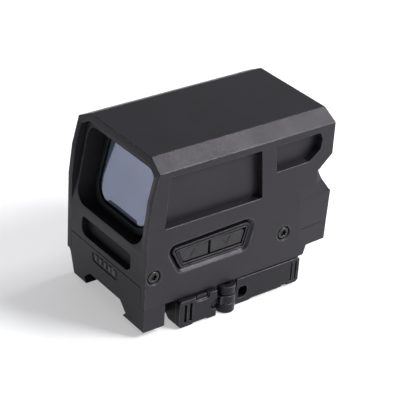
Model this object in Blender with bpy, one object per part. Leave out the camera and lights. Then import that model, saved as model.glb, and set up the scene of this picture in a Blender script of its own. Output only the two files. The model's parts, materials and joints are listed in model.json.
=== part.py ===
"""Enclosed red dot finder on a quick-release rail clamp.

Frame: origin at the middle of the rail seat (the roof of the rail channel),
+Y along the optical axis towards the target, +Z up, so that -X is the
user's left, where the buttons and the clamp lever are.
Every size below is in millimetres; loft() turns it into metres.
"""
import math

import bmesh
import bpy

MM = 0.001
GAP = 0.3
SEAM = 0.1
FAR = 60.0

# ---- housing -----------------------------------------------------------------------------
HALF_WIDTH = 19.8
FRONT_Y = 35.1
REAR_Y = -28.2
TOP_Z = 47.2
CHAMFER_Z = 44.5
TOP_HALF = 14.6
CHEEK_Z = 3.0
CHEEK_HALF = 17.7
SEAM_Z = 9.5
VISOR_HALF = 17.7
VISOR_TOP = 45.1
BEZEL_Z = 19.7
BEZEL_SLOPE = 0.184
LENS_Y = 31.0
LENS_Z = 20.5
LENS_SLOPE = 0.25
TUNNEL_HALF = 12.3
REAR_SEAT_Y = -19.0
BAY_HALF = 15.5
BAY_TOP = 18.5
PANEL_DEPTH = 2.4
REAR_VERTEX = (-23.4, 30.2)
REAR_CORNER = (-29.5, 22.0)
REAR_SLOPE = (REAR_VERTEX[0] - REAR_CORNER[0]) / (REAR_VERTEX[1] - REAR_CORNER[1])
TAPER_Y = -17.0
TAPER_Z = 12.1
TAPER_SINK = 0.7
GROOVE_SINK = 0.35
GROOVE_HALF = 0.16
NOTCH_Y = -15.8
NOTCH_LOW = 21.8
NOTCH_Z = 25.6
NOTCH_SINK = 0.8

# ---- rail interface (21.2 mm accessory rail) ---------------------------------------------
RAIL_TOP_HALF = 7.85
RAIL_HALF = 10.75
RAIL_WIDE_Z = -2.9
HOOK_HALF = 9.3
BASE_LOW = -4.35
BASE_HALF = CHEEK_HALF - SEAM
BASE_REAR = -19.9
BASE_TOP = SEAM_Z - 0.25
COLUMN_TOP = CHEEK_Z - SEAM
BADGE_Z = 6.85
LUG_HALF = 13.3
LUG_TOP = 15.6

# ---- clamp and lever ---------------------------------------------------------------------
CLAMP_LOW = -5.7
CLAMP_HIGH = 2.6
CLAMP_FRONT = 24.0
CLAMP_REAR = -19.7
CLAMP_OUT = -19.2
PLATE_OUT = -20.0
PLATE_TOP = 2.6
PLATE_EDGE = 3.4
PIVOT = (-19.3, 6.8)
HUB_RADIUS = 3.0
HUB_LOW = -2.9
HUB_HIGH = -0.4
UPPER_EAR = 2.8
LOWER_EAR = 2.9
LOWER_EAR_LOW = -6.1
PIN_RADIUS = 1.1
PIN_CLEARANCE = 0.05
LEVER_OUT = -21.4
LEVER_IN = -19.5
ARM_END = 11.3
LEVER_LOW = -6.0
LEVER_HIGH = 2.6
BOLT_Z = -1.35
BOLT_RADIUS = 1.5
GUIDE_Z = 1.3
GUIDE_RADIUS = 0.7
GUIDE_YS = {"front": 17.5, "rear": -12.0}
TAB = (14.6, 18.0)
TAB_LOW = 1.5
TAB_HIGH = 2.5
DISH_DEPTH = 0.45

# ---- side screws and adjusters -----------------------------------------------------------
SCREW_Z = 12.8
SCREW_YS = {"front": 32.2, "rear": -12.7}
SCREW_BORE = 1.15
SCREW_HEAD = 1.8
SCREW_SEAT = HALF_WIDTH - 1.25
ADJUST_Z = 16.4
WINDAGE_Y = -20.5

# ---- keypad (corners are y, z, corner radius) --------------------------------------------
KEYPAD = [(1.3, 12.5, 1.6), (23.5, 12.5, 1.3), (27.4, 20.1, 1.3), (-1.1, 21.0, 2.0)]
KEYPAD_FLOOR = -16.6
KEY_SPLIT = 13.7
KEY_GAP = 0.35
KEY_Z = 16.9
KEY_YS = {"up": 19.4, "down": 7.8}
FIELD_INSET = -1.7

# ---- battery drawer ----------------------------------------------------------------------
CELL_RADIUS = 10.0
CELL = (5.0, 4.5)
TRAY_FLOOR = 11.9
TRAY_REAR = CELL[1] - CELL_RADIUS - 0.9
TRAY_FRONT = CELL[1] + CELL_RADIUS + 0.9
DOOR_REAR = -8.9
DOOR_FRONT = 21.9
DOOR_LOW = 10.0
DOOR_HIGH = 18.3
DOOR_IN = 18.4
DOOR_OUT = 19.7
DOOR_SCREW = (19.2, 14.2)


# ---- materials ---------------------------------------------------------------------------
def material(name, colour, roughness, metallic, alpha=1.0):
    """Principled material, shared by the pieces that use the same name."""
    found = bpy.data.materials.get(name)
    if found:
        return found
    mat = bpy.data.materials.new(name)
    mat.use_nodes = True
    shader = mat.node_tree.nodes["Principled BSDF"]
    shader.inputs["Base Color"].default_value = (*colour, 1.0)
    shader.inputs["Roughness"].default_value = roughness
    shader.inputs["Metallic"].default_value = metallic
    shader.inputs["Alpha"].default_value = alpha
    return mat


def anodised(name):
    return material(name, (0.045, 0.043, 0.048), 0.45, 0.85)


def steel(name):
    return material(name, (0.30, 0.28, 0.27), 0.35, 1.0)


def rubber(name):
    return material(name, (0.02, 0.02, 0.02), 0.8, 0.0)


def plastic(name):
    return material(name, (0.03, 0.03, 0.032), 0.5, 0.0)


# ---- outlines ----------------------------------------------------------------------------
def rounded(corners, steps=6):
    """Outline whose (a, b, radius) corners become arcs."""
    points = []
    for i, (x, y, radius) in enumerate(corners):
        if radius <= 0:
            points.append((x, y))
            continue
        before = corners[i - 1]
        after = corners[(i + 1) % len(corners)]
        back = math.atan2(before[1] - y, before[0] - x)
        ahead = math.atan2(after[1] - y, after[0] - x)
        half = abs((ahead - back + math.pi) % (2 * math.pi) - math.pi) / 2
        middle = math.atan2(math.sin(ahead) + math.sin(back), math.cos(ahead) + math.cos(back))
        cx = x + math.cos(middle) * radius / math.sin(half)
        cy = y + math.sin(middle) * radius / math.sin(half)
        reach = radius / math.tan(half)
        first = math.atan2(y + reach * math.sin(back) - cy, x + reach * math.cos(back) - cx)
        last = math.atan2(y + reach * math.sin(ahead) - cy, x + reach * math.cos(ahead) - cx)
        sweep = (last - first + math.pi) % (2 * math.pi) - math.pi
        for k in range(steps + 1):
            turn = first + sweep * k / steps
            points.append((cx + radius * math.cos(turn), cy + radius * math.sin(turn)))
    return points


def offset(corners, distance):
    """Anticlockwise corners with every edge moved outwards, radii to suit."""
    edges = []
    for i, (x, y, _) in enumerate(corners):
        nx, ny, _ = corners[(i + 1) % len(corners)]
        length = math.hypot(nx - x, ny - y)
        out = ((ny - y) / length, (x - nx) / length)
        edges.append((out[0], out[1], out[0] * x + out[1] * y + distance))
    moved = []
    for i, corner in enumerate(corners):
        a, b = edges[i - 1], edges[i]
        det = a[0] * b[1] - a[1] * b[0]
        x = (a[2] * b[1] - b[2] * a[1]) / det
        y = (a[0] * b[2] - b[0] * a[2]) / det
        moved.append((x, y, max(corner[2] + distance, 0.3)))
    return moved


def rect(x0, y0, x1, y1, radius=0.0):
    return [(x0, y0, radius), (x1, y0, radius), (x1, y1, radius), (x0, y1, radius)]


def window(half, low, high, r_low, r_high, steps=6):
    """Window outline (x, z), symmetric, with its own radii at foot and head."""
    corners = [(-half, low, r_low), (half, low, r_low), (half, high, r_high), (-half, high, r_high)]
    return rounded(corners, steps)


def circle(centre, radius, segments=28):
    turns = [2 * math.pi * i / segments for i in range(segments)]
    return [(centre[0] + radius * math.cos(t), centre[1] + radius * math.sin(t)) for t in turns]


# ---- solids ------------------------------------------------------------------------------
def loft(name, rings, mat, pivot=(0, 0, 0), smooth=False):
    """Closed solid through rings of points, capped at both ends."""
    mesh = bpy.data.meshes.new(name)
    bm = bmesh.new()
    loops = []
    for ring in rings:
        loops.append([bm.verts.new([(c - p) * MM for c, p in zip(v, pivot)]) for v in ring])
    count = len(loops[0])
    for low, high in zip(loops, loops[1:]):
        for i in range(count):
            j = (i + 1) % count
            bm.faces.new((low[i], low[j], high[j], high[i]))
    bm.faces.new(loops[0])
    bm.faces.new(loops[-1])
    bmesh.ops.recalc_face_normals(bm, faces=bm.faces)
    bm.to_mesh(mesh)
    bm.free()
    if smooth:
        mesh.shade_smooth()
        mesh.set_sharp_from_angle(angle=math.radians(35))
    mesh.materials.append(mat)
    obj = bpy.data.objects.new(name, mesh)
    obj.location = [c * MM for c in pivot]
    bpy.context.collection.objects.link(obj)
    return obj


def lay(axis, outline, along):
    """Outline points on the plane across an axis: (y, z), (x, z) or (x, y)."""
    if axis == "X":
        return [(along, a, b) for a, b in outline]
    if axis == "Y":
        return [(a, along, b) for a, b in outline]
    return [(a, b, along) for a, b in outline]


def prism(name, outline, axis, start, end, mat, pivot=(0, 0, 0)):
    """An outline extruded along a world axis."""
    return loft(name, [lay(axis, outline, start), lay(axis, outline, end)], mat, pivot)


def box(name, low, high, mat, pivot=(0, 0, 0)):
    outline = rounded(rect(low[1], low[2], high[1], high[2]))
    return prism(name, outline, "X", low[0], high[0], mat, pivot)


def turned(name, profile, axis, centre, mat, pivot=(0, 0, 0), segments=28):
    """Round solid from (radius, place along the axis) pairs."""
    rings = [lay(axis, circle(centre, radius, segments), along) for radius, along in profile]
    return loft(name, rings, mat, pivot, smooth=True)


def boolean(target, other, operation):
    """Add one Boolean; the other object becomes a hidden wire tool."""
    other.hide_render = True
    other.display_type = "WIRE"
    mod = target.modifiers.new(other.name, "BOOLEAN")
    mod.operation = operation
    mod.solver = "EXACT"
    mod.object = other


def cut(target, *cutters):
    for cutter in cutters:
        boolean(target, cutter, "DIFFERENCE")


def join(target, *others):
    for other in others:
        boolean(target, other, "UNION")


def bezel_y(z):
    """The inner bezel face leans back with height."""
    return FRONT_Y - BEZEL_SLOPE * (z - BEZEL_Z)


def on_lens(outline, depth):
    """Outline (x, z) laid on the tilted lens plane, moved back by depth."""
    return [(x, LENS_Y - depth - LENS_SLOPE * (z - LENS_Z), z) for x, z in outline]


# ---- housing -----------------------------------------------------------------------------
def housing_block(mat):
    side = [
        (FRONT_Y, CHEEK_Z), (FRONT_Y, 27.2), (34.1, 36.2), (32.0, CHAMFER_Z), (31.3, TOP_Z),
        (REAR_Y, TOP_Z), (REAR_Y, 34.6), REAR_VERTEX, REAR_CORNER, (-29.0, 5.8),
        (-22.0, 5.8), (-21.0, CHEEK_Z),
    ]
    front = [
        (-HALF_WIDTH, 0), (HALF_WIDTH, 0), (HALF_WIDTH, CHAMFER_Z), (TOP_HALF, TOP_Z),
        (TOP_HALF, FAR), (-TOP_HALF, FAR), (-TOP_HALF, TOP_Z), (-HALF_WIDTH, CHAMFER_Z),
    ]
    body = prism("housing", side, "X", -FAR, FAR, mat)
    boolean(body, prism("width_guide", front, "Y", -FAR, FAR, mat), "INTERSECT")
    return body


def visor_and_hood(mat):
    """Recess in the visor, then the hood that tapers to the lens seat."""
    corners = [
        (-VISOR_HALF, BEZEL_Z, 0), (VISOR_HALF, BEZEL_Z, 0), (VISOR_HALF, 43.0, 1.2),
        (14.2, VISOR_TOP, 1.2), (-14.2, VISOR_TOP, 1.2), (-VISOR_HALF, 43.0, 1.2),
    ]
    outline = rounded(corners, 3)
    floor = [(x, bezel_y(z), z) for x, z in outline]
    visor = loft("visor_recess", [floor, lay("Y", outline, FAR)], mat)
    mouth = window(16.1, 20.55, 43.2, 4.6, 3.4)
    foot = window(14.6, 19.6, 42.2, 4.6, 3.0)
    at_bezel = [(x, bezel_y(z), z) for x, z in mouth]
    beyond = [(x, bezel_y(z) + 1.0, z) for x, z in mouth]
    hood = loft("hood", [on_lens(foot, 2.8), on_lens(foot, 0), at_bezel, beyond], mat)
    return [visor, hood]


def tunnel_and_rear_hood(mat):
    ahead = on_lens(window(TUNNEL_HALF, 22.2, 40.5, 4.0, 4.0), 2.0)
    behind = lay("Y", window(TUNNEL_HALF, 25.0, 41.3, 2.0, 2.0), REAR_SEAT_Y - 0.5)
    tunnel = loft("tunnel", [ahead, behind], mat)
    recess = window(15.0, 23.5, 43.0, 2.5, 2.5)
    rear_hood = prism("rear_hood", recess, "Y", -FAR, REAR_SEAT_Y, mat)
    return [tunnel, rear_hood]


def side_reliefs(mat, side, word):
    """Panels, rear groove and rear taper of one side wall."""
    floor = side * (HALF_WIDTH - PANEL_DEPTH)
    out = side * (HALF_WIDTH + 2)
    big = [(28.2, 42.6, 0.5), (-2.1, 42.3, 0.5), (-3.6, 27.1, 0.5), (29.5, 27.1, 0.5)]
    small = [
        (-6.9, 42.3, 0.4), (-22.9, 42.4, 0.9), (-23.8, 40.4, 0.9), (-23.5, 37.2, 0.9),
        (-19.6, 34.2, 0.9), (-8.1, 34.0, 0.4),
    ]
    cutters = [prism(f"long_panel_{word}", rounded(big), "X", floor, out, mat)]
    cutters.append(prism(f"short_panel_{word}", rounded(small), "X", floor, out, mat))
    cutters += rear_tapers(mat, side, word)
    return cutters


def rear_tapers(mat, side, word):
    """The side draws in towards the rear, under a notch and a bevelled end."""
    edge = side * (HALF_WIDTH + 1.0)
    taper, groove, notch = [], [], []
    for y, sink in ((TAPER_Y, -0.05), (-31.0, TAPER_SINK)):
        wall = side * (HALF_WIDTH - sink)
        deep = side * (HALF_WIDTH - sink - GROOVE_SINK)
        low, high = TAPER_Z - GROOVE_HALF, TAPER_Z + GROOVE_HALF
        taper.append([(edge, y, 2.0), (edge, y, NOTCH_Z), (wall, y, NOTCH_Z), (wall, y, 2.0)])
        back = y - 2.0
        groove.append([(edge, back, low), (edge, back, high), (deep, back, high), (deep, back, low)])
    for y, depth in ((NOTCH_Y, -0.05), (TAPER_Y - 1.0, NOTCH_SINK), (-31.0, TAPER_SINK + NOTCH_SINK)):
        deep = side * (HALF_WIDTH - depth)
        foot = NOTCH_Z - (NOTCH_Z - NOTCH_LOW) * (1.0 + depth) / NOTCH_SINK
        notch.append([(edge, y, foot), (edge, y, NOTCH_Z + 1.2), (deep, y, NOTCH_Z)])
    cutters = [loft(f"taper_{word}", taper, mat), loft(f"groove_{word}", groove, mat)]
    cutters.append(loft(f"notch_{word}", notch, mat))
    rings = []
    for z, width, sink in ((NOTCH_LOW + 0.2, 2.0, 1.4), (26.3, 2.9, 1.5), (30.3, 0.05, 0.05)):
        rear = REAR_VERTEX[0] - (REAR_VERTEX[1] - z) * REAR_SLOPE
        front = rear + width * (1.0 + 1.0 / sink)
        inner = side * (HALF_WIDTH - sink)
        rings.append([(edge, front, z), (inner, rear, z), (inner, rear - 3.0, z), (edge, rear - 3.0, z)])
    cutters.append(loft(f"rear_bevel_{word}", rings, mat))
    return cutters


def screw_bores(mat):
    """Stepped bore of each side screw, and the pocket for the lug behind it."""
    cutters = []
    seat = SCREW_HEAD + GAP
    for place, y in SCREW_YS.items():
        for side, word in ((-1, "left"), (1, "right")):
            profile = [
                (SCREW_BORE, side * 12.5), (SCREW_BORE, side * SCREW_SEAT), (seat, side * SCREW_SEAT),
                (seat, side * (HALF_WIDTH - 0.35)), (2.55, side * (HALF_WIDTH + 0.1)),
                (2.55, side * (HALF_WIDTH + 1)),
            ]
            cutters.append(turned(f"screw_bore_{word}_{place}", profile, "X", (y, SCREW_Z), mat))
            low = (min(side * 13.0, side * CHEEK_HALF), y - 2.1, SEAM_Z - 1)
            high = (max(side * 13.0, side * CHEEK_HALF), y + 1.9, LUG_TOP + GAP)
            cutters.append(box(f"lug_pocket_{word}_{place}", low, high, mat))
    return cutters


def keypad_pocket(mat):
    """Pocket with a broad chamfered edge, and a bore for each key stem."""
    rings = []
    for x, grow in ((KEYPAD_FLOOR, 0), (1.0 - HALF_WIDTH, 0), (-HALF_WIDTH, 1.2), (-FAR, 1.2)):
        rings.append(lay("X", rounded(offset(KEYPAD, grow)), x))
    cutters = [loft("keypad_pocket", rings, mat)]
    for word, y in KEY_YS.items():
        bore = [(1.3, -17.5), (1.3, -14.5)]
        cutters.append(turned(f"stem_bore_{word}", bore, "X", (y, KEY_Z), mat))
    return cutters


def right_side_openings(mat):
    """Battery slot and door recess, and the two adjuster bores."""
    recess = rect(DOOR_REAR - GAP, DOOR_LOW - GAP, DOOR_FRONT + GAP, DOOR_HIGH + GAP, 0.8)
    door = prism("door_recess", rounded(recess, 5), "X", DOOR_IN - GAP, FAR, mat)
    slot = box("tray_slot", (14, TRAY_REAR - GAP, TRAY_FLOOR - GAP), (19, TRAY_FRONT + GAP, 16.6), mat)
    screw = turned("door_screw_bore", [(1.3, 13.5), (1.3, 19)], "X", DOOR_SCREW, mat)
    across = [(1.7, 14.0), (1.7, 18.1), (3.0, 18.1), (3.0, 22.0)]
    windage = turned("windage_bore", across, "X", (WINDAGE_Y, ADJUST_Z), mat)
    along = [(1.7, -22.0), (1.7, -27.4), (3.0, -27.4), (3.0, -32.0)]
    elevation = turned("elevation_bore", along, "Y", (0, ADJUST_Z), mat)
    return [door, slot, screw, windage, elevation]


def housing():
    mat = anodised("housing")
    body = housing_block(mat)
    cut(body, box("base_bay", (-CHEEK_HALF, -20.2, -5), (CHEEK_HALF, FAR, SEAM_Z), mat))
    cut(body, *visor_and_hood(mat), *tunnel_and_rear_hood(mat))
    cut(body, box("electronics_bay", (-BAY_HALF, -24.5, 9), (BAY_HALF, 27.5, BAY_TOP), mat))
    cut(body, box("emitter_port", (-3.6, -17.6, 17), (3.6, -8.0, 26), mat))
    for side, word in ((-1, "left"), (1, "right")):
        cut(body, *side_reliefs(mat, side, word))
    cut(body, *screw_bores(mat), *keypad_pocket(mat), *right_side_openings(mat))
    slot = rounded([(-12.3, 11.2, 2.4), (12.3, 11.2, 2.4), (12.3, 17.1, 1.4), (-12.3, 17.1, 1.4)])
    cut(body, prism("front_slot", slot, "Y", FRONT_Y - 2.0, FAR, mat))


# ---- optics ------------------------------------------------------------------------------
def tilted_plate(name, outline, front, back, mat):
    """Plate parallel to the tilted lens, between two depths."""
    return loft(name, [on_lens(outline, front), on_lens(outline, back)], mat)


def front_optics():
    ring = window(14.1, 19.9, 41.8, 7.2, 2.8)
    frame = tilted_plate("front_lens_frame", ring, 0, 1.7, anodised("lens_frame"))
    hole = window(12.7, 22.0, 40.5, 5.8, 2.4)
    cut(frame, tilted_plate("lens_frame_hole", hole, -3, 5, rubber("seal")))
    glass = material("front_lens", (0.28, 0.33, 0.52), 0.05, 0.0, 0.6)
    tilted_plate("front_lens", window(12.45, 22.25, 40.25, 5.55, 2.15), 0.5, 1.7, glass)
    seal = tilted_plate("front_lens_seal", window(13.9, 20.1, 41.6, 7.0, 2.6), 2.0, 2.5, rubber("seal"))
    cut(seal, tilted_plate("lens_seal_hole", window(11.4, 23.0, 39.5, 4.9, 1.9), -3, 5, rubber("seal")))


def rear_optics():
    ring = window(14.7, 23.8, 42.7, 2.2, 2.2)
    frame = prism("rear_window_frame", ring, "Y", -21.8, -19.9, anodised("lens_frame"))
    hole = window(12.0, 25.4, 41.0, 2.0, 2.0)
    cut(frame, prism("rear_frame_hole", hole, "Y", -30, -10, rubber("seal")))
    glass = material("rear_window", (0.75, 0.8, 0.82), 0.03, 0.0, 0.35)
    prism("rear_window", window(11.7, 25.7, 40.7, 1.7, 1.7), "Y", -21.2, -19.9, glass)
    seal = prism("rear_window_seal", window(14.5, 24.0, 42.5, 2.0, 2.0), "Y", -19.6, -19.2, rubber("seal"))
    cut(seal, prism("rear_seal_hole", window(11.3, 26.1, 40.3, 1.3, 1.3), "Y", -30, -10, rubber("seal")))


def emitter():
    """Windage carriage, the block that rises on it, and the light source."""
    body = plastic("carriage")
    carriage = box("windage_carriage", (-5.0, -23.2, 10.0), (5.0, -15.6, 12.0), body)
    join(carriage, box("carriage_lug", (4.2, -22.3, 11.0), (5.8, -18.7, 17.6), body))
    block = box("emitter_block", (-3.0, -23.0, 13.4), (3.0, -15.4, 17.2), body)
    join(block, box("emitter_post", (-2.0, -17.2, 15.0), (2.0, -15.4, 21.2), body))
    diode = material("led_emitter", (0.5, 0.05, 0.04), 0.3, 0.0)
    turned("led_emitter", [(1.2, -15.1), (1.2, -14.2), (0.7, -13.6)], "Y", (0, 19.8), diode)


# ---- electronics -------------------------------------------------------------------------
def electronics():
    board = material("circuit_board", (0.02, 0.12, 0.05), 0.5, 0.0)
    box("circuit_board", (-12.9, -11.0, 17.3), (12.9, 26.0, 18.1), board)
    box("switch_board", (-14.3, 2.0, 13.0), (-13.5, 25.0, 18.1), board)
    leaf = [(1.0, 17.0), (1.0, 16.75), (5.5, 16.3), (9.0, 16.3), (9.0, 16.55), (5.6, 16.55), (1.7, 17.0)]
    prism("battery_contact", leaf, "X", 3.0, 6.0, steel("contact"))
    for word, y in KEY_YS.items():
        dome = [(1.6, -14.6), (1.4, -14.85), (0.8, -15.0)]
        turned(f"dome_switch_{word}", dome, "X", (y, KEY_Z), steel("contact"), segments=20)


def keypad():
    """Rim, membrane and the two keys, from the floor of the pocket outwards."""
    skin = prism("keypad_membrane", rounded(offset(KEYPAD, -GAP)), "X", -16.9, -17.3, rubber("membrane"))
    rim = prism("keypad_frame", rounded(offset(KEYPAD, -GAP)), "X", -17.6, -19.6, anodised("keypad_frame"))
    cut(rim, prism("keypad_field", rounded(offset(KEYPAD, FIELD_INSET)), "X", -15, -22, rubber("membrane")))
    groove = prism("rim_groove", rounded(offset(KEYPAD, -0.8)), "X", -19.3, -22, rubber("membrane"))
    cut(groove, prism("rim_groove_core", rounded(offset(KEYPAD, -1.2)), "X", -15, -25, rubber("membrane")))
    cut(rim, groove)
    low_z, high_z = 14.5, 18.65
    left_edge, right_edge = 2.65, 22.9
    lean = 0.35
    keys = {
        "down": [
            (left_edge, low_z, 0.6), (KEY_SPLIT - KEY_GAP, low_z, 0.3),
            (KEY_SPLIT - KEY_GAP, high_z, 0.3), (left_edge - lean * 3.2, high_z, 0.8),
        ],
        "up": [
            (KEY_SPLIT + KEY_GAP, low_z, 0.3), (right_edge - 0.45, low_z, 0.6),
            (right_edge + lean * 4.3, high_z - 0.25, 0.6), (KEY_SPLIT + KEY_GAP, high_z, 0.3),
        ],
    }
    for word, corners in keys.items():
        centre = (KEY_YS[word], KEY_Z)
        cut(skin, turned(f"skin_hole_{word}", [(1.3, -18), (1.3, -16)], "X", centre, rubber("membrane")))
        pivot = (-18.6, centre[0], centre[1])
        key = prism(f"button_{word}", rounded(corners), "X", -18.0, -19.35, rubber("keys"), pivot)
        stem = turned(f"stem_{word}", [(1.0, -18.5), (1.0, -15.7)], "X", centre, rubber("keys"))
        join(key, stem)


def battery_drawer():
    shell = anodised("battery_tray")
    pivot = (DOOR_IN, CELL[1], 14.2)
    low = (-6.5, TRAY_REAR, TRAY_FLOOR)
    high = (DOOR_IN + 0.5, TRAY_FRONT, 15.5)
    tray = box("battery_tray", low, high, shell, pivot)
    door = rounded(rect(DOOR_REAR, DOOR_LOW, DOOR_FRONT, DOOR_HIGH, 0.6), 5)
    join(tray, prism("tray_door", door, "X", DOOR_IN, DOOR_OUT, shell))
    well = [(CELL_RADIUS + GAP, 12.5), (CELL_RADIUS + GAP, 20.0)]
    cut(tray, turned("cell_well", well, "Z", CELL, shell, segments=40))
    bore = [(1.3, 17.0), (1.3, 19.0), (2.5, 19.0), (2.5, 21.0)]
    cut(tray, turned("door_screw_seat", bore, "X", DOOR_SCREW, shell))
    groove = rect(TRAY_REAR - 1.35, 10.55, TRAY_FRONT + 1.35, 17.65, 0.5)
    ring = prism("seal_groove", rounded(groove, 4), "X", DOOR_IN - 1, DOOR_IN + 0.7, shell)
    kept = rect(TRAY_REAR - 0.45, 11.45, TRAY_FRONT + 0.45, 16.75, 0.3)
    cut(ring, prism("groove_core", rounded(kept, 4), "X", DOOR_IN - 2, DOOR_IN + 2, shell))
    cut(tray, ring)
    outer = rounded(rect(TRAY_REAR - 1.2, 10.7, TRAY_FRONT + 1.2, 17.5, 0.4), 4)
    seal = prism("tray_seal", outer, "X", DOOR_IN - 0.15, DOOR_IN + 0.55, rubber("seal"))
    inner = rounded(rect(TRAY_REAR - 0.6, 11.3, TRAY_FRONT + 0.6, 16.9, 0.3), 4)
    cut(seal, prism("seal_hole", inner, "X", DOOR_IN - 2, DOOR_IN + 2, rubber("seal")))
    cell = material("battery", (0.6, 0.6, 0.6), 0.3, 1.0)
    cell_shape = [(CELL_RADIUS - 1.0, 12.75), (CELL_RADIUS, 13.1), (CELL_RADIUS, 15.95)]
    turned("battery", cell_shape, "Z", CELL, cell, segments=36)


# ---- screws and adjusters ----------------------------------------------------------------
def star(centre, radius, lobes=6):
    """Six-lobed socket outline."""
    points = []
    for i in range(lobes * 2):
        reach = radius if i % 2 == 0 else radius * 0.68
        turn = math.pi * i / lobes
        points.append((centre[0] + reach * math.cos(turn), centre[1] + reach * math.sin(turn)))
    return points


def slotted(name, profile, axis, centre, outer, mat, pivot):
    """Round screw with a straight coin slot in its outer face."""
    screw = turned(name, profile, axis, centre, mat, pivot)
    inner = outer - math.copysign(0.5, outer)
    reach = profile[-1][0] + 0.5
    blade = rounded(rect(centre[0] - reach, centre[1] - 0.35, centre[0] + reach, centre[1] + 0.35))
    cut(screw, prism(f"{name}_slot", blade, axis, inner, outer * 1.1, mat))


def screws():
    for place, y in SCREW_YS.items():
        for side, word in ((-1, "left"), (1, "right")):
            profile = [
                (0.85, side * 14.0), (0.85, side * (SCREW_SEAT + GAP)),
                (SCREW_HEAD, side * (SCREW_SEAT + GAP)), (SCREW_HEAD, side * 19.45),
                (SCREW_HEAD - 0.2, side * 19.6),
            ]
            name = f"side_screw_{word}_{place}"
            screw = turned(name, profile, "X", (y, SCREW_Z), steel("steel"))
            socket = star((y, SCREW_Z), 1.15)
            cut(screw, prism(f"{name}_socket", socket, "X", side * 18.95, side * 21, steel("steel")))
    door = [(1.0, 14.6), (1.0, 19.1), (2.2, 19.1), (2.2, 19.7)]
    slotted("tray_screw", door, "X", DOOR_SCREW, 19.7, steel("steel"), (19.4, *DOOR_SCREW))
    windage = [(1.4, 7.0), (1.4, 18.4), (2.7, 18.4), (2.7, 19.3), (2.4, 19.5)]
    centre = (WINDAGE_Y, ADJUST_Z)
    slotted("windage_adjuster", windage, "X", centre, 19.5, steel("adjuster"), (19.0, *centre))
    elevation = [(1.4, -23.9), (1.4, -27.7), (2.7, -27.7), (2.7, -28.5), (2.4, -28.7)]
    centre = (0, ADJUST_Z)
    pivot = (0, -28.2, ADJUST_Z)
    slotted("elevation_adjuster", elevation, "Y", centre, -28.7, steel("adjuster"), pivot)


# ---- rail base ---------------------------------------------------------------------------
def badge(mat):
    """Shallow capsule on the base front that leaves five plain bars standing."""
    outline = rounded(rect(-6.7, BADGE_Z - 1.75, 6.7, BADGE_Z + 1.75, 1.7))
    capsule = prism("badge", outline, "Y", FRONT_Y - 0.3, FAR, mat)
    for i in range(-2, 3):
        low = (i * 2.3 - 0.55, FRONT_Y - 2, BADGE_Z - 1.0)
        high = (i * 2.3 + 0.55, FAR + 2, BADGE_Z + 1.0)
        cut(capsule, box(f"badge_bar_{i + 3}", low, high, mat))
    return capsule


def mount_base():
    mat = anodised("mount_base")
    far_side = [
        (RAIL_TOP_HALF, 0), (RAIL_HALF, RAIL_WIDE_Z), (HOOK_HALF, BASE_LOW), (16.0, BASE_LOW),
        (18.0, 1.9), (18.6, COLUMN_TOP), (BASE_HALF, COLUMN_TOP), (BASE_HALF, BASE_TOP),
    ]
    near_side = [(-BASE_HALF, BASE_TOP), (-BASE_HALF, 2.8), (-8.2, 2.8), (-8.2, 0)]
    base = prism("mount_base", far_side + near_side, "Y", BASE_REAR, FRONT_Y, mat)
    jaw = [
        (-6.0, 0), (-6.0, 3.4), (-14.6, 3.4), (-14.6, BASE_LOW), (-HOOK_HALF, BASE_LOW),
        (-RAIL_HALF, RAIL_WIDE_Z), (-RAIL_TOP_HALF, 0),
    ]
    join(base, prism("front_jaw", jaw, "Y", CLAMP_FRONT + GAP, FRONT_Y, mat))
    column = [
        (-14.0, BASE_LOW), (-14.0, 3.4), (-BASE_HALF, 3.4), (-BASE_HALF, COLUMN_TOP),
        (-HALF_WIDTH, COLUMN_TOP), (-HALF_WIDTH, BASE_LOW),
    ]
    join(base, prism("front_column", column, "Y", 28.0, FRONT_Y, mat))
    for place, y in SCREW_YS.items():
        for side, word in ((-1, "left"), (1, "right")):
            low = (min(side * LUG_HALF, side * BASE_HALF), y - 1.8, BASE_TOP - 1)
            high = (max(side * LUG_HALF, side * BASE_HALF), y + 1.6, LUG_TOP)
            join(base, box(f"lug_{word}_{place}", low, high, mat))
        bore = [(SCREW_BORE, -18), (SCREW_BORE, 18)]
        cut(base, turned(f"lug_bore_{place}", bore, "X", (y, SCREW_Z), mat))
    low = (-9.0, PIVOT[1] - 1.9, BOLT_Z)
    high = (RAIL_TOP_HALF, PIVOT[1] + 1.9, 0.45)
    cut(base, box("bolt_relief", low, high, mat))
    bolt = [(1.8, -20), (1.8, 14.2), (2.5, 14.2), (2.5, 20)]
    cut(base, turned("bolt_bore", bolt, "X", (PIVOT[1], BOLT_Z), mat))
    for place, y in GUIDE_YS.items():
        guide = [(GUIDE_RADIUS + 0.1, -9.0), (GUIDE_RADIUS + 0.1, -2.0)]
        cut(base, turned(f"guide_bore_{place}", guide, "X", (y, GUIDE_Z), mat, segments=16))
    cut(base, badge(mat))


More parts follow.
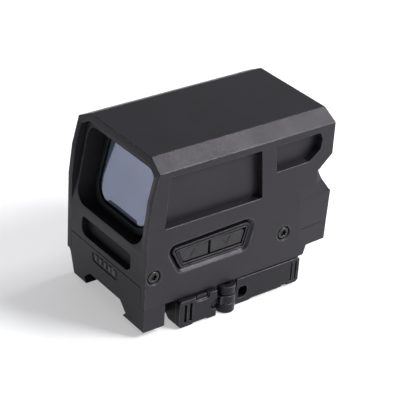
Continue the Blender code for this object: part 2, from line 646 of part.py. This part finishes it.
# ---- clamp -------------------------------------------------------------------------------
def clamp_bar():
    mat = anodised("clamp_bar")
    pivot = (CLAMP_OUT, PIVOT[1], BOLT_Z)
    profile = [
        (-8.5, CLAMP_HIGH), (-8.5, -0.65), (-RAIL_HALF, RAIL_WIDE_Z), (-HOOK_HALF, BASE_LOW),
        (-14.6, -4.6), (-15.7, CLAMP_LOW), (CLAMP_OUT, CLAMP_LOW), (CLAMP_OUT, CLAMP_HIGH),
    ]
    bar = prism("clamp_bar", profile, "Y", CLAMP_REAR, CLAMP_FRONT, mat, pivot)
    plate = [
        (CLAMP_REAR, -4.9), (-18.9, -5.6), (-15.3, -5.6), (-15.0, -5.2), (-13.6, -5.2), (-13.3, -5.6),
        (-2.3, -5.6), (-1.9, -5.95), (PLATE_EDGE, -5.95), (PLATE_EDGE, PLATE_TOP),
        (-19.2, PLATE_TOP), (CLAMP_REAR, 2.1),
    ]
    join(bar, prism("rear_plate", plate, "X", PLATE_OUT, CLAMP_OUT + 1, mat))
    upper = [(UPPER_EAR, HUB_HIGH + 0.2), (UPPER_EAR, PLATE_TOP - 0.1)]
    join(bar, turned("upper_ear", upper, "Z", PIVOT, mat, segments=40))
    lower = [(LOWER_EAR, LOWER_EAR_LOW), (LOWER_EAR, HUB_LOW - 0.2)]
    join(bar, turned("lower_ear", lower, "Z", PIVOT, mat, segments=40))
    pocket = [(HUB_RADIUS + GAP, HUB_LOW - 0.2), (HUB_RADIUS + GAP, HUB_HIGH + 0.2)]
    cut(bar, turned("hub_pocket", pocket, "Z", PIVOT, mat, segments=40))
    bore = PIN_RADIUS + PIN_CLEARANCE
    cut(bar, turned("ear_bore", [(bore, -8), (bore, 5)], "Z", PIVOT, mat))
    cut(bar, turned("bolt_way", [(1.8, -18), (1.8, -5)], "X", (PIVOT[1], BOLT_Z), mat))
    for place, y in GUIDE_YS.items():
        way = [(GUIDE_RADIUS + 0.05, -14.0), (GUIDE_RADIUS + 0.05, -5)]
        cut(bar, turned(f"guide_way_{place}", way, "X", (y, GUIDE_Z), mat, segments=16))
    for i, y in enumerate((-16.8, -18.4)):
        cut(bar, box(f"plate_groove_{i}", (-21, y - 0.3, -4.6), (PLATE_OUT + 0.45, y + 0.3, 1.6), mat))
    hole = [(-0.6, -4.0, 1.6), (2.6, -4.0, 0.3), (2.6, -0.4, 0.9), (-0.6, -0.4, 1.4)]
    cut(bar, prism("plate_hole", rounded(hole), "X", -23, -17.4, mat))


def clamp_lever():
    """Arm with a hub that turns between the two ears of the clamp bar."""
    mat = anodised("clamp_lever")
    pivot = (*PIVOT, BOLT_Z)
    barrel = [(HUB_RADIUS, HUB_LOW), (HUB_RADIUS, HUB_HIGH)]
    hub = turned("clamp_lever", barrel, "Z", PIVOT, mat, pivot, segments=40)
    root = rounded(rect(PIVOT[1] - 0.5, HUB_LOW, ARM_END + 1.0, HUB_HIGH))
    join(hub, prism("arm_root", root, "X", LEVER_OUT, LEVER_IN, mat))
    arm = [
        (ARM_END, LEVER_LOW, 0), (24.2, LEVER_LOW, 1.0), (24.2, LEVER_HIGH, 0.9), (ARM_END, LEVER_HIGH, 0),
    ]
    join(hub, prism("arm", rounded(arm), "X", LEVER_OUT, LEVER_IN, mat))
    scoop = rounded([(10.0, -3.5, 0.3), (13.4, -3.5, 1.5), (13.4, -0.3, 1.5), (10.0, -0.3, 0.3)])
    cut(hub, prism("arm_scoop", scoop, "X", -23, LEVER_OUT + 1.2, mat))
    lip = TAB_LOW - 0.5
    near, far = TAB[0] - 0.7, TAB[1] + 0.7
    dish = rounded([(near, 6, 0), (near, lip, 0.9), (far, lip, 0.9), (far, 6, 0)])
    cut(hub, prism("tab_dish", dish, "X", -23, LEVER_OUT + DISH_DEPTH, mat))
    window_low = (-23, TAB[0] - GAP, TAB_LOW - GAP)
    cut(hub, box("tab_window", window_low, (-18, TAB[1] + GAP, 6), mat))
    cut(hub, box("foot_relief", (-23, TAB[0] - 0.2, -8), (-18, TAB[1] + 1.4, LEVER_LOW + 0.35), mat))
    for i, y in enumerate((22.0, 20.2)):
        cut(hub, box(f"grip_groove_{i}", (-23, y - 0.42, -4.6), (LEVER_OUT + 0.8, y + 0.42, 1.3), mat))
    bore = PIN_RADIUS + PIN_CLEARANCE
    cut(hub, turned("hub_bore", [(bore, -8), (bore, 5)], "Z", PIVOT, mat))


def clamp_fittings():
    mat = steel("steel")
    turned("lever_pin", [(PIN_RADIUS, -5.9), (PIN_RADIUS, 2.3)], "Z", PIVOT, mat, (*PIVOT, BOLT_Z))
    outline = rounded(rect(TAB[0], TAB_LOW, TAB[1], TAB_HIGH, 0.25), 3)
    centre = (-20.3, (TAB[0] + TAB[1]) / 2, (TAB_LOW + TAB_HIGH) / 2)
    prism("lock_tab", outline, "X", -20.8, -19.8, anodised("clamp_lever"), centre)
    turned("cross_bolt", [(BOLT_RADIUS, -15.4), (BOLT_RADIUS, 15.6)], "X", (PIVOT[1], BOLT_Z), mat)
    nut = turned("adjust_nut", [(2.2, 14.5), (2.2, 16.0), (1.9, 16.3)], "X", (PIVOT[1], BOLT_Z), mat)
    cut(nut, turned("nut_bore", [(1.8, 12), (1.8, 18)], "X", (PIVOT[1], BOLT_Z), mat))
    for place, y in GUIDE_YS.items():
        pin = [(GUIDE_RADIUS, -13.4), (GUIDE_RADIUS, -2.4)]
        turned(f"guide_pin_{place}", pin, "X", (y, GUIDE_Z), mat, segments=16)


def main():
    for obj in list(bpy.data.objects):
        bpy.data.objects.remove(obj, do_unlink=True)
    housing()
    front_optics()
    rear_optics()
    emitter()
    electronics()
    keypad()
    battery_drawer()
    screws()
    mount_base()
    clamp_bar()
    clamp_lever()
    clamp_fittings()


main()
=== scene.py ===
"""Looks of the enclosed red dot finder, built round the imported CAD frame."""
import json
import math

import bmesh
import bpy
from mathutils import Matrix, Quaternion, Vector

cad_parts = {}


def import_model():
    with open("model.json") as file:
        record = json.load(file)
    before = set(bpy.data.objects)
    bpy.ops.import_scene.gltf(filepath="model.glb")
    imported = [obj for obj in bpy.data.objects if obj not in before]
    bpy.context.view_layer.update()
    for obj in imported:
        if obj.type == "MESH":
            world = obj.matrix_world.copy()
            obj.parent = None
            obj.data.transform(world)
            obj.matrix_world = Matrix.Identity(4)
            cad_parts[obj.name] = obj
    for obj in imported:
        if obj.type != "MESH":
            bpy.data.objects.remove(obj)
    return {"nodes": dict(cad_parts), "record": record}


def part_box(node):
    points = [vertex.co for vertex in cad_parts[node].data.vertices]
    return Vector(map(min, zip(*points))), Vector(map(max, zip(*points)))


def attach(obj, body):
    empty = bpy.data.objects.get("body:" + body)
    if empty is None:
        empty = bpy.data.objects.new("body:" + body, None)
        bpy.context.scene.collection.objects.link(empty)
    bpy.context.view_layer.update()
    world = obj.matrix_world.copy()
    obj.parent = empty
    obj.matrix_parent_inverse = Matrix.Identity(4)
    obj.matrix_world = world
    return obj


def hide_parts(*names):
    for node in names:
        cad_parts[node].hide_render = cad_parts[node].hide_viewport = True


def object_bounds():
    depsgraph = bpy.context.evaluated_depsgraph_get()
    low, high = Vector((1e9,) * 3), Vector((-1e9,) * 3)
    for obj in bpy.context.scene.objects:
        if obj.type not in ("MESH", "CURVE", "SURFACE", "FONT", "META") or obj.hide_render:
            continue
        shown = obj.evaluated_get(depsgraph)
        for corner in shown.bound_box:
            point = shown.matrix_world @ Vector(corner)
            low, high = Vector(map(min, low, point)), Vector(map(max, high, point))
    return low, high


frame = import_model()
cad_box = [list(corner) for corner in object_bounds()]
nodes = frame["nodes"]
MM = 0.001

BLACK = (0.0195, 0.0178, 0.0212)
SATIN = (0.0142, 0.013, 0.0156)
MARK_GREY = (0.075, 0.072, 0.079)
RIM_TEAL = (0.016, 0.03, 0.032)

WELD = 0.0005 * MM  # corners closer than this are one
FLAT_ANGLE = math.radians(0.4)  # facets closer than this in slope are one face
BREAK_ANGLE = math.radians(24)  # sharper edges than this are broken
SMOOTH_ANGLE = math.radians(40)  # sharper edges than this stay crisp in shading
LENS_HOLLOW = 0.55  # depth of the lens front, mm
LENS_STEP = 1.2  # spacing of the points on the lens rim, mm
SEAMS = ((2, 9.375, 0.2), (2, 2.95, 0.12), (0, 17.65, 0.12))  # axis, place, reach, mm


# ---- materials -------------------------------------------------------------------
class Nodes:
    """Small helper that builds a node tree round one Principled shader."""

    def __init__(self, name, roughness, metallic, colour):
        self.mat = bpy.data.materials.new(name)
        self.mat.use_nodes = True
        self.tree = self.mat.node_tree
        self.shader = self.tree.nodes["Principled BSDF"]
        self.shader.inputs["Metallic"].default_value = metallic
        self.shader.inputs["Roughness"].default_value = roughness
        self.shader.inputs["Base Color"].default_value = (*colour, 1.0)
        self.place = self.tree.nodes.new("ShaderNodeTexCoord").outputs["Object"]

    def link(self, output, target, socket):
        self.tree.links.new(output, target.inputs[socket])

    def noise(self, size, detail=2.0, rough=0.5, stretch=(1, 1, 1)):
        """Noise whose grain is about size millimetres."""
        mapping = self.tree.nodes.new("ShaderNodeMapping")
        mapping.inputs["Scale"].default_value = stretch
        self.link(self.place, mapping, "Vector")
        node = self.tree.nodes.new("ShaderNodeTexNoise")
        node.inputs["Scale"].default_value = 1 / (size * MM)
        node.inputs["Detail"].default_value = detail
        node.inputs["Roughness"].default_value = rough
        self.link(mapping.outputs["Vector"], node, "Vector")
        return node.outputs["Fac"]

    def spread(self, value, low, high, start=0.35, end=0.65):
        """Map the middle of a noise to a range."""
        node = self.tree.nodes.new("ShaderNodeMapRange")
        node.inputs["From Min"].default_value = start
        node.inputs["From Max"].default_value = end
        node.inputs["To Min"].default_value = low
        node.inputs["To Max"].default_value = high
        self.link(value, node, "Value")
        return node.outputs["Result"]

    def blend(self, fac, first, second):
        """Colour between two colours or colour outputs."""
        node = self.tree.nodes.new("ShaderNodeMix")
        node.data_type = "RGBA"
        self.link(fac, node, 0)
        for socket, colour in ((6, first), (7, second)):
            if isinstance(colour, tuple):
                node.inputs[socket].default_value = (*colour, 1.0)
            else:
                self.tree.links.new(colour, node.inputs[socket])
        return node.outputs[2]

    def attribute(self, name):
        node = self.tree.nodes.new("ShaderNodeAttribute")
        node.attribute_name = name
        return node.outputs["Fac"]

    def maths(self, kind, first, second):
        node = self.tree.nodes.new("ShaderNodeMath")
        node.operation = kind
        for socket, value in enumerate((first, second)):
            if isinstance(value, (int, float)):
                node.inputs[socket].default_value = value
            else:
                self.tree.links.new(value, node.inputs[socket])
        return node.outputs[0]

    def bump(self, height, depth, strength=1.0, under=None):
        node = self.tree.nodes.new("ShaderNodeBump")
        node.inputs["Strength"].default_value = strength
        node.inputs["Distance"].default_value = depth * MM
        self.link(height, node, "Height")
        if under is not None:
            self.link(under, node, "Normal")
        return node.outputs["Normal"]

    def colour(self, output):
        self.link(output, self.shader, "Base Color")

    def rough(self, output):
        self.link(output, self.shader, "Roughness")

    def normal(self, output):
        self.link(output, self.shader, "Normal")


def shade(colour, factor):
    return tuple(c * factor for c in colour)


def anodised(name, colour, worn_and_highlight_colour, low, high, metallic=0.55, gloss=0.3):
    """Bead-blasted, black anodised aluminium; its edge faces are lightened, partly as polish wear and
    partly as a painted highlight.
    """
    n = Nodes(name, 0.5, metallic, colour)
    blast = n.noise(0.16, 3.0, 0.6)
    cloud = n.noise(9.0, 4.0, 0.55)
    speck = n.noise(0.5, 2.0, 0.5)
    edge = n.attribute("edge")
    mark = n.attribute("mark")
    # Lighter colour on the edge faces in patches: partly polish wear, partly a painted highlight along the
    # edges.
    wear_and_highlight_mask = n.maths("MULTIPLY", edge, n.spread(n.noise(2.2, 5.0, 0.7), 0.25, 1.0, 0.4, 0.62))
    tint = n.blend(n.spread(cloud, 0.0, 1.0), shade(colour, 0.9), shade(colour, 1.12))
    grain = n.blend(n.spread(blast, 0.0, 0.35), tint, shade(colour, 1.7))
    n.colour(n.blend(mark, n.blend(wear_and_highlight_mask, grain, worn_and_highlight_colour), MARK_GREY))
    base = n.maths("ADD", n.spread(cloud, low, high), n.spread(speck, -0.03, 0.03))
    n.rough(n.maths("ADD", base, n.maths("MULTIPLY", edge, 0.08)))
    n.normal(n.bump(blast, 0.012, 0.55, n.bump(speck, 0.01, 0.25)))
    n.shader.inputs["Specular IOR Level"].default_value = gloss
    return n.mat


def machined_steel(name, colour, low, high):
    """Turned, blackened steel: fine rings of tool marks read as streaks."""
    n = Nodes(name, 0.35, 1.0, colour)
    streak = n.noise(0.25, 3.0, 0.6, (1, 0.3, 0.3))
    smear = n.noise(1.6, 4.0, 0.6)
    edge = n.attribute("edge")
    tone = n.blend(n.spread(smear, 0.0, 1.0), shade(colour, 0.72), colour)
    n.colour(n.blend(n.maths("MULTIPLY", edge, 0.6), tone, tuple(min(c * 1.8, 0.8) for c in colour)))
    n.rough(n.spread(streak, low, high))
    n.normal(n.bump(streak, 0.006, 0.35))
    return n.mat


def moulded_rubber(name, colour, low=0.62, high=0.78):
    """Matte silicone with the fine skin of its spark-eroded mould."""
    n = Nodes(name, 0.7, 0.0, colour)
    skin = n.noise(0.11, 2.0, 0.55)
    cloud = n.noise(3.0, 3.0, 0.5)
    n.colour(n.blend(n.spread(cloud, 0.0, 1.0), colour, shade(colour, 1.3)))
    n.rough(n.spread(skin, low, high))
    n.normal(n.bump(skin, 0.012, 0.6))
    n.shader.inputs["Specular IOR Level"].default_value = 0.35
    return n.mat


def moulded_plastic(name, colour):
    n = Nodes(name, 0.5, 0.0, colour)
    skin = n.noise(0.2, 2.0, 0.5)
    n.colour(n.blend(n.spread(skin, 0.0, 1.0), colour, shade(colour, 1.25)))
    n.rough(n.spread(skin, 0.42, 0.58))
    n.normal(n.bump(skin, 0.01, 0.4))
    return n.mat


def solder_mask(name):
    """Green board with copper tracks showing through the mask."""
    n = Nodes(name, 0.35, 0.0, (0.01, 0.09, 0.035))
    track = n.tree.nodes.new("ShaderNodeTexVoronoi")
    track.distance = "MANHATTAN"
    track.feature = "DISTANCE_TO_EDGE"
    track.inputs["Scale"].default_value = 1 / (1.8 * MM)
    n.link(n.place, track, "Vector")
    lines = n.spread(track.outputs["Distance"], 1.0, 0.0, 0.04, 0.08)
    n.colour(n.blend(lines, (0.008, 0.075, 0.03), (0.03, 0.2, 0.08)))
    n.normal(n.bump(lines, 0.03, 0.5))
    n.rough(n.spread(n.noise(0.6), 0.28, 0.42))
    return n.mat


def coated_glass(name, colour, metallic, alpha, low, high):
    """Glass whose dielectric coating throws back a tinted part of the light."""
    n = Nodes(name, 0.05, metallic, colour)
    sheen = n.noise(14.0, 2.0, 0.4)
    coat = n.blend(n.spread(sheen, 0.0, 1.0), shade(colour, 0.93), shade(colour, 1.06))
    n.colour(n.blend(n.attribute("edge"), coat, RIM_TEAL))
    n.rough(n.spread(n.noise(5.0, 3.0, 0.5), low, high))
    n.shader.inputs["Alpha"].default_value = alpha
    n.shader.inputs["Coat Weight"].default_value = 0.6
    n.shader.inputs["Coat Roughness"].default_value = 0.03
    return n.mat


def red_epoxy(name):
    n = Nodes(name, 0.18, 0.0, (0.45, 0.02, 0.015))
    n.colour(n.blend(n.spread(n.noise(0.5), 0.0, 1.0), (0.35, 0.015, 0.01), (0.55, 0.03, 0.02)))
    n.rough(n.spread(n.noise(0.3), 0.12, 0.22))
    return n.mat


MATS = {
    "anodised_aluminium": anodised("black_anodised", BLACK, (0.06, 0.057, 0.064), 0.38, 0.46),
    "anodised_clamp": anodised("black_anodised_satin", SATIN, (0.07, 0.066, 0.074), 0.36, 0.44, gloss=0.22),
    "dark_steel": machined_steel("blackened_steel", (0.047, 0.045, 0.046), 0.3, 0.44),
    "plated_steel": machined_steel("nickel_plate", (0.62, 0.6, 0.56), 0.18, 0.32),
    "black_rubber": moulded_rubber("seal_rubber", (0.014, 0.014, 0.015)),
    "key_rubber": moulded_rubber("key_silicone", (0.0122, 0.0115, 0.0136), 0.5, 0.64),
    "black_plastic": moulded_plastic("black_plastic", (0.022, 0.022, 0.024)),
    "board_laminate": solder_mask("solder_mask"),
    "coated_glass": coated_glass(
        "mirror_coated_glass", (0.163, 0.192, 0.282), metallic=0.6, alpha=0.97, low=0.05, high=0.1),
    "clear_glass": coated_glass(
        "clear_coated_glass", (0.06, 0.075, 0.085), metallic=0.0, alpha=0.3, low=0.02, high=0.035),
    "red_diode": red_epoxy("red_epoxy"),
}
# Deeper, less glossy black for the housing's recessed walls: painted shade for the hoods, tunnel, front
# slot and rear facets.
PAINTED_SHADE_BLACK = anodised(
    "painted_shade_black", (0.0125, 0.0115, 0.0135), (0.024, 0.023, 0.025), 0.52, 0.6, metallic=0.3, gloss=0.18)
LENS_RING = anodised("black_lens_ring", (0.011, 0.014, 0.015), (0.028, 0.036, 0.038), 0.42, 0.5)
SLOTS = {s["node"]: s["material_slot"] for s in frame["record"]["subparts"]}
BODY = {n: body for body, members in frame["record"]["behaviour"]["bodies"].items() for n in members}


# ---- mesh finishing ------------------------------------------------------------------
def clean_copy(node):
    """The CAD node as a bmesh with welded corners and whole flat faces."""
    bm = bmesh.new()
    bm.from_mesh(nodes[node].data)
    bmesh.ops.remove_doubles(bm, verts=bm.verts, dist=WELD)
    bmesh.ops.dissolve_degenerate(bm, edges=bm.edges, dist=WELD)
    bmesh.ops.dissolve_limit(
        bm, angle_limit=FLAT_ANGLE, verts=bm.verts, edges=bm.edges, use_dissolve_boundaries=False)
    return bm


def on_seam(edge):
    """Whether an edge lies on a joint line, the rear groove or the rear notch, left crisp."""
    ends = [v.co / MM for v in edge.verts]
    for axis, place, reach in SEAMS:
        if all(abs(abs(end[axis]) - place) < reach for end in ends):
            return True
    if min(abs(end.x) for end in ends) < 17.9 or max(end.y for end in ends) > -15.5:
        return False
    groove = all(abs(end.z - 12.1) < 0.25 for end in ends)
    return groove or all(19.5 < end.z < 27.0 for end in ends)


def finish_piece(node, width):
    """A finer piece in place of a CAD node: its sharp edges are broken."""
    bm = clean_copy(node)
    for word in ("edge", "mark"):
        bm.faces.layers.float.new(word)
    layer = bm.faces.layers.float["edge"]
    mark = bm.faces.layers.float["mark"]
    if node == "mount_base":
        for face in bm.faces:
            if badge_bar(face):
                face[mark] = 1.0
    seams = node in ("housing", "mount_base")
    sharp = []
    for edge in bm.edges:
        if len(edge.link_faces) != 2 or (seams and on_seam(edge)):
            continue
        if edge.calc_face_angle_signed(0.0) > BREAK_ANGLE:
            sharp.append(edge)
    made = bmesh.ops.bevel(
        bm, geom=sharp, offset=width * MM, offset_type="OFFSET", segments=2, profile=0.5,
        affect="EDGES", clamp_overlap=False, miter_outer="ARC")
    for face in made["faces"]:
        face[layer] = 1.0
    if node == "front_lens":
        dish(bm, LENS_HOLLOW)
    # Recessed faces of the housing get the second material, a deeper black that paints in their shade.
    if node == "housing":
        for face in bm.faces:
            if painted_shade_face(face):
                face.material_index = 1
    mesh = bpy.data.meshes.new(f"{node}_skin")
    bm.to_mesh(mesh)
    bm.free()
    mesh.shade_smooth()
    mesh.set_sharp_from_angle(angle=SMOOTH_ANGLE)
    piece = bpy.data.objects.new(f"{node}_skin", mesh)
    bpy.context.collection.objects.link(piece)
    weighted = piece.modifiers.new("flat faces", "WEIGHTED_NORMAL")
    weighted.keep_sharp = True
    mesh.materials.append(LENS_RING if node == "front_lens_frame" else MATS[SLOTS[node]])
    # Second slot: the deeper black of painted shade for recessed walls.
    if node == "housing":
        mesh.materials.append(PAINTED_SHADE_BLACK)
    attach(piece, BODY[node])
    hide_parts(node)
    return piece


def dish(bm, depth, rings=9):
    """Turn the flat front face of the lens into a shallow round hollow."""
    flat = max((face for face in bm.faces if face.normal.y > 0.9), key=lambda face: face.calc_area())
    middle = flat.calc_center_median()
    for edge in list(flat.edges):
        vert = edge.verts[0]
        for left in range(int(edge.calc_length() / (LENS_STEP * MM)), 0, -1):
            vert = bmesh.utils.edge_split(edge, vert, 1 / (left + 1))[1]
    outline = list(flat.verts)
    back = -flat.normal * depth * MM
    reach = max((vert.co - middle).length for vert in outline)
    bm.faces.remove(flat)
    spans = [vert.co - middle for vert in outline]
    for vert, span in zip(outline, spans):
        vert.co = middle + span + back * (1 - (span.length / reach) ** 2)
    last = outline
    for ring in range(1, rings):
        t = 1 - ring / rings
        made = []
        for span in spans:
            drop = 1 - (span.length * t / reach) ** 2
            made.append(bm.verts.new(middle + span * t + back * drop))
        for i in range(len(made)):
            j = (i + 1) % len(made)
            bm.faces.new((last[i], last[j], made[j], made[i]))
        last = made
    tip = bm.verts.new(middle + back)
    for i in range(len(last)):
        bm.faces.new((last[i], last[(i + 1) % len(last)], tip))
    bmesh.ops.recalc_face_normals(bm, faces=bm.faces)


def badge_bar(face):
    """The plain bars left standing in the capsule on the base front."""
    middle = face.calc_center_median() / MM
    return face.normal.y > 0.9 and abs(middle.x) < 5.6 and 5.0 < middle.z < 8.2 and face.calc_area() < 4e-6


def painted_shade_face(face):
    """Recessed walls painted a deeper matt black as painted shade: hoods, tunnel, front slot and rear
    facets.
    """
    middle = face.calc_center_median() / MM
    if middle.y > 32.8 and abs(middle.x) < 12.4 and 11.1 < middle.z < 17.2:
        return middle.y < 34.95
    if middle.y < -23.0 and abs(middle.x) > 17.9 and 22.3 < middle.z < 30.4:
        return face.normal.y < -0.2
    if abs(face.normal.y) > 0.8:
        return False
    front = middle.y > 15 and abs(middle.x) < 17.8 and 19.2 < middle.z < 45.3
    return front or (abs(middle.x) < 15.1 and 21.0 < middle.z < 43.2)


EDGE_WIDTHS = {
    "housing": 0.22,
    "mount_base": 0.2,
    "clamp_bar": 0.2,
    "clamp_lever": 0.2,
    "keypad_frame": 0.12,
    "battery_tray": 0.15,
    "front_lens_frame": 0.18,
    "front_lens": 0.3,
    "rear_window": 0.2,
    "rear_window_frame": 0.2,
    "button_up": 0.25,
    "button_down": 0.25,
    "lock_tab": 0.1,
    "lever_pin": 0.12,
    "cross_bolt": 0.12,
    "adjust_nut": 0.1,
    "tray_screw": 0.1,
    "windage_adjuster": 0.1,
    "elevation_adjuster": 0.1,
}  # in mm
for node in SLOTS:
    if node.startswith("side_screw"):
        EDGE_WIDTHS[node] = 0.1
for node, width in EDGE_WIDTHS.items():
    finish_piece(node, width)


def chevron(name, node, centre, turn):
    """Thin raised arrowhead on a key, pointing up or down."""
    half, rise, line = 1.5, 1.35, 0.28
    outline = [
        (-half, -rise), (0, rise), (half, -rise), (half - line * 1.3, -rise),
        (0, rise - line * 2.4), (-half + line * 1.3, -rise),
    ]
    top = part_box(node)[0][0] / MM
    bm = bmesh.new()
    rings = []
    for x, shrink in ((top + 0.05, 1.0), (top - 0.06, 1.0), (top - 0.1, 0.97)):
        ring = []
        for y, z in outline:
            place = (x, centre[0] + y * shrink, centre[1] + turn * z * shrink)
            ring.append(bm.verts.new([c * MM for c in place]))
        rings.append(ring)
    for low, high in zip(rings, rings[1:]):
        for i in range(len(low)):
            j = (i + 1) % len(low)
            bm.faces.new((low[i], low[j], high[j], high[i]))
    bm.faces.new(rings[0])
    bm.faces.new(rings[-1])
    bmesh.ops.recalc_face_normals(bm, faces=bm.faces)
    mesh = bpy.data.meshes.new(name)
    bm.to_mesh(mesh)
    bm.free()
    mesh.materials.append(MATS["black_rubber"])
    piece = bpy.data.objects.new(name, mesh)
    bpy.context.collection.objects.link(piece)
    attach(piece, BODY[node])


chevron("arrow_up", "button_up", (18.8, 16.6), 1)
chevron("arrow_down", "button_down", (7.9, 16.6), -1)

for node, obj in nodes.items():
    if node in EDGE_WIDTHS:
        continue
    mat = MATS[SLOTS[node]]
    if not obj.material_slots:
        obj.data.materials.append(mat)
    for slot in obj.material_slots:
        slot.material = mat


# ---- stage, light and camera ---------------------------------------------------------------
def floor():
    mesh = bpy.data.meshes.new("floor")
    bm = bmesh.new()
    bmesh.ops.create_grid(bm, x_segments=1, y_segments=1, size=3.0)
    bm.to_mesh(mesh)
    bm.free()
    obj = bpy.data.objects.new("floor", mesh)
    obj.location.z = cad_box[0][2] - 0.0002
    bpy.context.collection.objects.link(obj)
    n = Nodes("studio_floor", 0.6, 0.0, (0.6, 0.6, 0.61))
    n.shader.inputs["Emission Color"].default_value = (1.0, 1.0, 1.0, 1.0)
    n.shader.inputs["Emission Strength"].default_value = 0.4
    mesh.materials.append(n.mat)


def area_light(name, towards, distance, size, power):
    """Soft box in a direction from the object's middle, aimed at it."""
    data = bpy.data.lights.new(name, "AREA")
    data.shape = "RECTANGLE"
    data.size, data.size_y = size
    data.energy = power
    obj = bpy.data.objects.new(name, data)
    way = Vector(towards).normalized()
    obj.location = Vector((0, 0, 0.02)) + way * distance
    obj.rotation_mode = "QUATERNION"
    obj.rotation_quaternion = (-way).to_track_quat("-Z", "Y")
    bpy.context.collection.objects.link(obj)


def world(strength):
    """Even sky that falls off towards the front of the object."""
    world_data = bpy.data.worlds.new("studio")
    world_data.use_nodes = True
    tree = world_data.node_tree
    background = tree.nodes["Background"]
    background.inputs["Color"].default_value = (0.95, 0.96, 1.0, 1.0)
    dot = tree.nodes.new("ShaderNodeVectorMath")
    dot.operation = "DOT_PRODUCT"
    dot.inputs[1].default_value = (0.6, 0.8, 0.0)
    tree.links.new(tree.nodes.new("ShaderNodeTexCoord").outputs["Generated"], dot.inputs[0])
    fade = tree.nodes.new("ShaderNodeMapRange")
    fade.inputs["From Min"].default_value = -0.1
    fade.inputs["From Max"].default_value = 0.7
    fade.inputs["To Min"].default_value = strength
    fade.inputs["To Max"].default_value = strength * 0.3
    tree.links.new(dot.outputs["Value"], fade.inputs["Value"])
    tree.links.new(fade.outputs["Result"], background.inputs["Strength"])
    bpy.context.scene.world = world_data


def camera():
    data = bpy.data.cameras.new("camera")
    data.lens = 135.55
    data.sensor_width = 36.0
    data.clip_start = 0.01
    data.clip_end = 20.0
    obj = bpy.data.objects.new("camera", data)
    obj.location = (-0.29505, 0.23299, 0.23460)
    forward = Vector((0.68292, -0.53250, -0.50006))
    obj.rotation_mode = "QUATERNION"
    obj.rotation_quaternion = forward.to_track_quat("-Z", "Y") @ Quaternion((0, 0, 1), math.radians(3.66))
    bpy.context.collection.objects.link(obj)
    bpy.context.scene.camera = obj


floor()
world(0.43)
area_light("key", (-0.55, -0.53, 0.64), 1.3, (0.45, 0.45), 22)
area_light("overhead", (-0.03, -0.53, 0.845), 1.3, (0.4, 0.4), 8)
area_light("side", (-0.83, -0.5, 0.12), 1.3, (0.5, 0.3), 1)
area_light("front", (0.3, 0.9, 0.2), 1.5, (0.9, 0.5), 0.5)
camera()
bpy.context.scene.view_settings.view_transform = "Standard"
